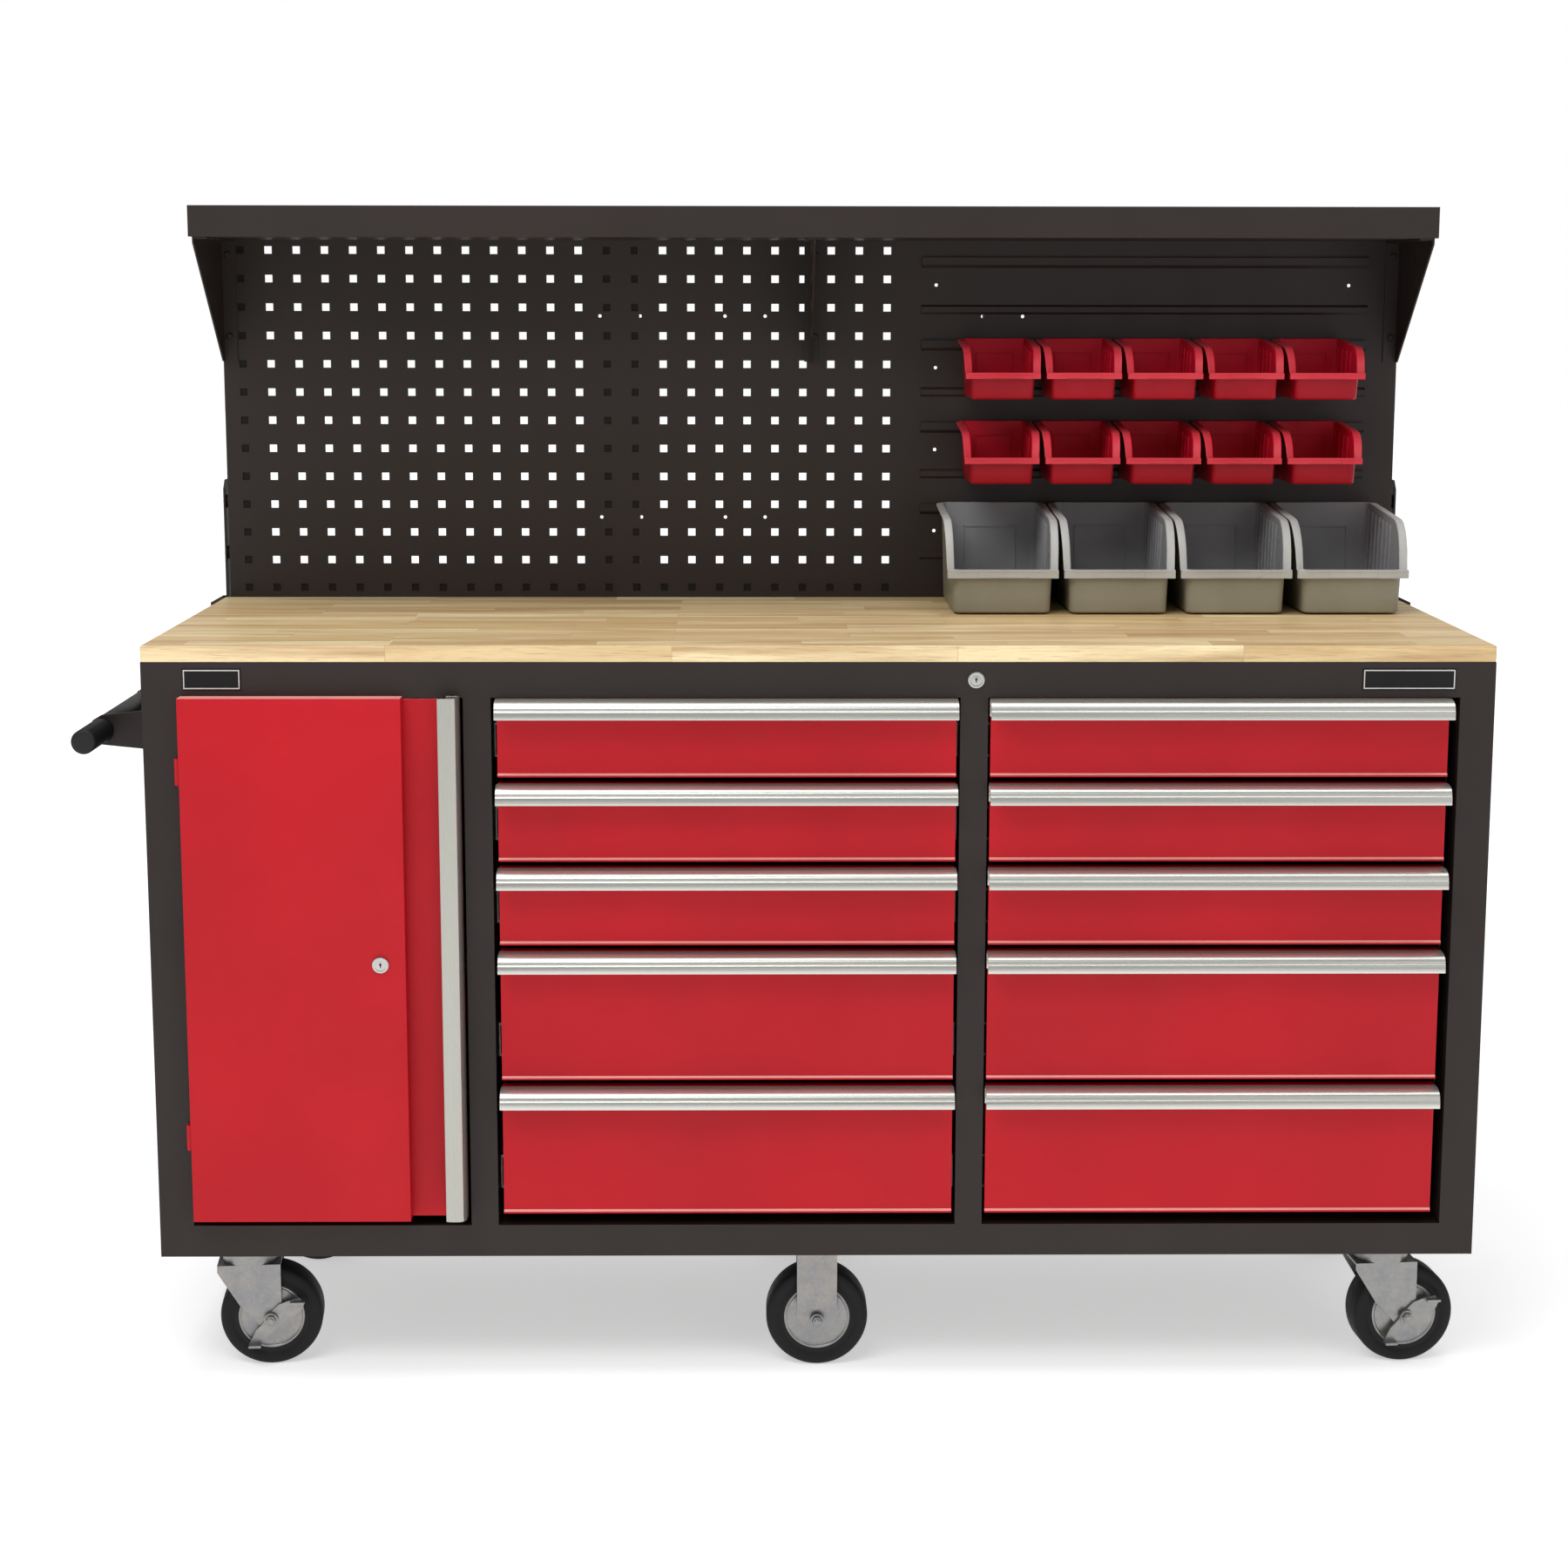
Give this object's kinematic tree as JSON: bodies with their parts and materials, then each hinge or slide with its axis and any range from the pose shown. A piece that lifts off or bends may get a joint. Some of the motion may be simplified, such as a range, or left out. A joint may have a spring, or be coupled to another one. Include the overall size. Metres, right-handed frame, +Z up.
{
  "type": "mobile workbench",
  "caption": "Mobile steel workbench with a cupboard, drawers, timber top, perforated backboard with hook-on bins and an overhead shelf, on casters.",
  "frame": {"origin": "on the floor, under the middle of the whole object's footprint", "axes": "+X to the viewer's right along the bench, +Y towards the backboard, +Z up; drawers open towards -Y"},
  "size_m": [1.714, 0.6256, 1.4385],
  "materials": {
    "charcoal_paint": "satin powder coat",
    "red_paint": "satin powder coat",
    "timber": "clear-lacquered finger-jointed strips",
    "zinc_plate": "bright zinc plate",
    "aluminium_pull": "satin anodised",
    "lock_metal": "nickel",
    "black_tube": "semi-gloss black",
    "tyre_rubber": "matt",
    "badge": "blank plate",
    "red_plastic": "moulded",
    "grey_plastic": "moulded"
  },
  "bodies": {
    "bench": {"front_frame": "charcoal_paint", "side_panel_left": "charcoal_paint", "side_panel_right": "charcoal_paint", "cabinet_back": "charcoal_paint", "cabinet_floor": "charcoal_paint", "cabinet_dividers": "charcoal_paint", "cupboard_shelf": "charcoal_paint", "drawer_runners": "zinc_plate", "worktop": "timber", "back_panel": "charcoal_paint", "backboard_posts": "charcoal_paint", "backboard_brackets": "charcoal_paint", "overhead_shelf": "charcoal_paint", "shelf_brackets": "charcoal_paint", "push_handle_bar": "black_tube", "push_handle_brackets": "charcoal_paint", "fixed_caster_forks": "zinc_plate", "caster_top_plates": "zinc_plate", "badge_plates": "badge", "fasteners": "zinc_plate"},
    "drawer_left_1": {"drawer_left_1": "red_paint"},
    "drawer_left_2": {"drawer_left_2": "red_paint"},
    "drawer_left_3": {"drawer_left_3": "red_paint"},
    "drawer_left_4": {"drawer_left_4": "red_paint"},
    "drawer_left_5": {"drawer_left_5": "red_paint"},
    "drawer_right_1": {"drawer_right_1": "red_paint"},
    "drawer_right_2": {"drawer_right_2": "red_paint"},
    "drawer_right_3": {"drawer_right_3": "red_paint"},
    "drawer_right_4": {"drawer_right_4": "red_paint"},
    "drawer_right_5": {"drawer_right_5": "red_paint"},
    "door": {"door": "red_paint", "door_handle": "aluminium_pull"},
    "door_lock": {"door_lock": "lock_metal"},
    "main_lock": {"main_lock": "lock_metal"},
    "swivel_fork_front_left": {"swivel_fork_front_left": "zinc_plate"},
    "wheel_front_left": {"wheel_front_left": "tyre_rubber"},
    "brake_pedal_front_left": {"brake_pedal_front_left": "zinc_plate"},
    "swivel_fork_front_right": {"swivel_fork_front_right": "zinc_plate"},
    "wheel_front_right": {"wheel_front_right": "tyre_rubber"},
    "brake_pedal_front_right": {"brake_pedal_front_right": "zinc_plate"},
    "swivel_fork_rear_left": {"swivel_fork_rear_left": "zinc_plate"},
    "wheel_rear_left": {"wheel_rear_left": "tyre_rubber"},
    "swivel_fork_rear_right": {"swivel_fork_rear_right": "zinc_plate"},
    "wheel_rear_right": {"wheel_rear_right": "tyre_rubber"},
    "wheel_front_centre": {"wheel_front_centre": "tyre_rubber"},
    "wheel_rear_centre": {"wheel_rear_centre": "tyre_rubber"},
    "red_bin_upper_1": {"red_bin_upper_1": "red_plastic"},
    "red_bin_upper_2": {"red_bin_upper_2": "red_plastic"},
    "red_bin_upper_3": {"red_bin_upper_3": "red_plastic"},
    "red_bin_upper_4": {"red_bin_upper_4": "red_plastic"},
    "red_bin_upper_5": {"red_bin_upper_5": "red_plastic"},
    "red_bin_lower_1": {"red_bin_lower_1": "red_plastic"},
    "red_bin_lower_2": {"red_bin_lower_2": "red_plastic"},
    "red_bin_lower_3": {"red_bin_lower_3": "red_plastic"},
    "red_bin_lower_4": {"red_bin_lower_4": "red_plastic"},
    "red_bin_lower_5": {"red_bin_lower_5": "red_plastic"},
    "grey_bin_1": {"grey_bin_1": "grey_plastic"},
    "grey_bin_2": {"grey_bin_2": "grey_plastic"},
    "grey_bin_3": {"grey_bin_3": "grey_plastic"},
    "grey_bin_4": {"grey_bin_4": "grey_plastic"}
  },
  "joints": [
    {"name": "drawer_left_1_slide", "type": "slide", "parent": "bench", "child": "drawer_left_1", "axis": [0, -1, 0], "range_m": [0, 0.45]},
    {"name": "drawer_left_2_slide", "type": "slide", "parent": "bench", "child": "drawer_left_2", "axis": [0, -1, 0], "range_m": [0, 0.45]},
    {"name": "drawer_left_3_slide", "type": "slide", "parent": "bench", "child": "drawer_left_3", "axis": [0, -1, 0], "range_m": [0, 0.45]},
    {"name": "drawer_left_4_slide", "type": "slide", "parent": "bench", "child": "drawer_left_4", "axis": [0, -1, 0], "range_m": [0, 0.45]},
    {"name": "drawer_left_5_slide", "type": "slide", "parent": "bench", "child": "drawer_left_5", "axis": [0, -1, 0], "range_m": [0, 0.45]},
    {"name": "drawer_right_1_slide", "type": "slide", "parent": "bench", "child": "drawer_right_1", "axis": [0, -1, 0], "range_m": [0, 0.45]},
    {"name": "drawer_right_2_slide", "type": "slide", "parent": "bench", "child": "drawer_right_2", "axis": [0, -1, 0], "range_m": [0, 0.45]},
    {"name": "drawer_right_3_slide", "type": "slide", "parent": "bench", "child": "drawer_right_3", "axis": [0, -1, 0], "range_m": [0, 0.45]},
    {"name": "drawer_right_4_slide", "type": "slide", "parent": "bench", "child": "drawer_right_4", "axis": [0, -1, 0], "range_m": [0, 0.45]},
    {"name": "drawer_right_5_slide", "type": "slide", "parent": "bench", "child": "drawer_right_5", "axis": [0, -1, 0], "range_m": [0, 0.45]},
    {"name": "door_hinge", "type": "hinge", "parent": "bench", "child": "door", "pos_m": [-0.7175, -0.29375, 0.533], "axis": [0, 0, -1], "range_deg": [0, 110]},
    {"name": "door_lock_turn", "type": "hinge", "parent": "door", "child": "door_lock", "pos_m": [-0.48, -0.30975, 0.534], "axis": [0, 1, 0], "range_deg": [0, 90]},
    {"name": "main_lock_turn", "type": "hinge", "parent": "bench", "child": "main_lock", "pos_m": [0.232, -0.28575, 0.8752], "axis": [0, 1, 0], "range_deg": [0, 90]},
    {"name": "front_left_swivel", "type": "hinge", "parent": "bench", "child": "swivel_fork_front_left", "pos_m": [-0.665, -0.20575, 0.133], "axis": [0, 0, 1], "continuous": true},
    {"name": "front_left_wheel_spin", "type": "hinge", "parent": "swivel_fork_front_left", "child": "wheel_front_left", "pos_m": [-0.6391, -0.20348, 0.0635], "axis": [-0.0872, 0.9962, 0], "continuous": true},
    {"name": "front_left_brake", "type": "hinge", "parent": "swivel_fork_front_left", "child": "brake_pedal_front_left", "pos_m": [-0.6391, -0.20348, 0.0635], "axis": [-0.0872, 0.9962, 0], "range_deg": [0, 12]},
    {"name": "front_right_swivel", "type": "hinge", "parent": "bench", "child": "swivel_fork_front_right", "pos_m": [0.757, -0.20575, 0.133], "axis": [0, 0, 1], "continuous": true},
    {"name": "front_right_wheel_spin", "type": "hinge", "parent": "swivel_fork_front_right", "child": "wheel_front_right", "pos_m": [0.7829, -0.20348, 0.0635], "axis": [-0.0872, 0.9962, 0], "continuous": true},
    {"name": "front_right_brake", "type": "hinge", "parent": "swivel_fork_front_right", "child": "brake_pedal_front_right", "pos_m": [0.7829, -0.20348, 0.0635], "axis": [-0.0872, 0.9962, 0], "range_deg": [0, 12]},
    {"name": "rear_left_swivel", "type": "hinge", "parent": "bench", "child": "swivel_fork_rear_left", "pos_m": [-0.665, 0.19775, 0.133], "axis": [0, 0, 1], "continuous": true},
    {"name": "rear_left_wheel_spin", "type": "hinge", "parent": "swivel_fork_rear_left", "child": "wheel_rear_left", "pos_m": [-0.63957, 0.19234, 0.0635], "axis": [0.2079, 0.9781, 0], "continuous": true},
    {"name": "rear_right_swivel", "type": "hinge", "parent": "bench", "child": "swivel_fork_rear_right", "pos_m": [0.757, 0.19775, 0.133], "axis": [0, 0, 1], "continuous": true},
    {"name": "rear_right_wheel_spin", "type": "hinge", "parent": "swivel_fork_rear_right", "child": "wheel_rear_right", "pos_m": [0.78211, 0.20448, 0.0635], "axis": [-0.2588, 0.9659, 0], "continuous": true},
    {"name": "front_centre_wheel_spin", "type": "hinge", "parent": "bench", "child": "wheel_front_centre", "pos_m": [0.046, -0.21075, 0.0635], "axis": [0, 1, 0], "continuous": true},
    {"name": "rear_centre_wheel_spin", "type": "hinge", "parent": "bench", "child": "wheel_rear_centre", "pos_m": [0.046, 0.20275, 0.0635], "axis": [0, 1, 0], "continuous": true},
    {"name": "red_bin_upper_1_lift", "type": "slide", "parent": "bench", "child": "red_bin_upper_1", "axis": [0, 0, 1], "range_m": [0, 0.015]},
    {"name": "red_bin_upper_2_lift", "type": "slide", "parent": "bench", "child": "red_bin_upper_2", "axis": [0, 0, 1], "range_m": [0, 0.015]},
    {"name": "red_bin_upper_3_lift", "type": "slide", "parent": "bench", "child": "red_bin_upper_3", "axis": [0, 0, 1], "range_m": [0, 0.015]},
    {"name": "red_bin_upper_4_lift", "type": "slide", "parent": "bench", "child": "red_bin_upper_4", "axis": [0, 0, 1], "range_m": [0, 0.015]},
    {"name": "red_bin_upper_5_lift", "type": "slide", "parent": "bench", "child": "red_bin_upper_5", "axis": [0, 0, 1], "range_m": [0, 0.015]},
    {"name": "red_bin_lower_1_lift", "type": "slide", "parent": "bench", "child": "red_bin_lower_1", "axis": [0, 0, 1], "range_m": [0, 0.015]},
    {"name": "red_bin_lower_2_lift", "type": "slide", "parent": "bench", "child": "red_bin_lower_2", "axis": [0, 0, 1], "range_m": [0, 0.015]},
    {"name": "red_bin_lower_3_lift", "type": "slide", "parent": "bench", "child": "red_bin_lower_3", "axis": [0, 0, 1], "range_m": [0, 0.015]},
    {"name": "red_bin_lower_4_lift", "type": "slide", "parent": "bench", "child": "red_bin_lower_4", "axis": [0, 0, 1], "range_m": [0, 0.015]},
    {"name": "red_bin_lower_5_lift", "type": "slide", "parent": "bench", "child": "red_bin_lower_5", "axis": [0, 0, 1], "range_m": [0, 0.015]},
    {"name": "grey_bin_1_lift", "type": "slide", "parent": "bench", "child": "grey_bin_1", "axis": [0, 0, 1], "range_m": [0, 0.015]},
    {"name": "grey_bin_2_lift", "type": "slide", "parent": "bench", "child": "grey_bin_2", "axis": [0, 0, 1], "range_m": [0, 0.015]},
    {"name": "grey_bin_3_lift", "type": "slide", "parent": "bench", "child": "grey_bin_3", "axis": [0, 0, 1], "range_m": [0, 0.015]},
    {"name": "grey_bin_4_lift", "type": "slide", "parent": "bench", "child": "grey_bin_4", "axis": [0, 0, 1], "range_m": [0, 0.015]}
  ]
}
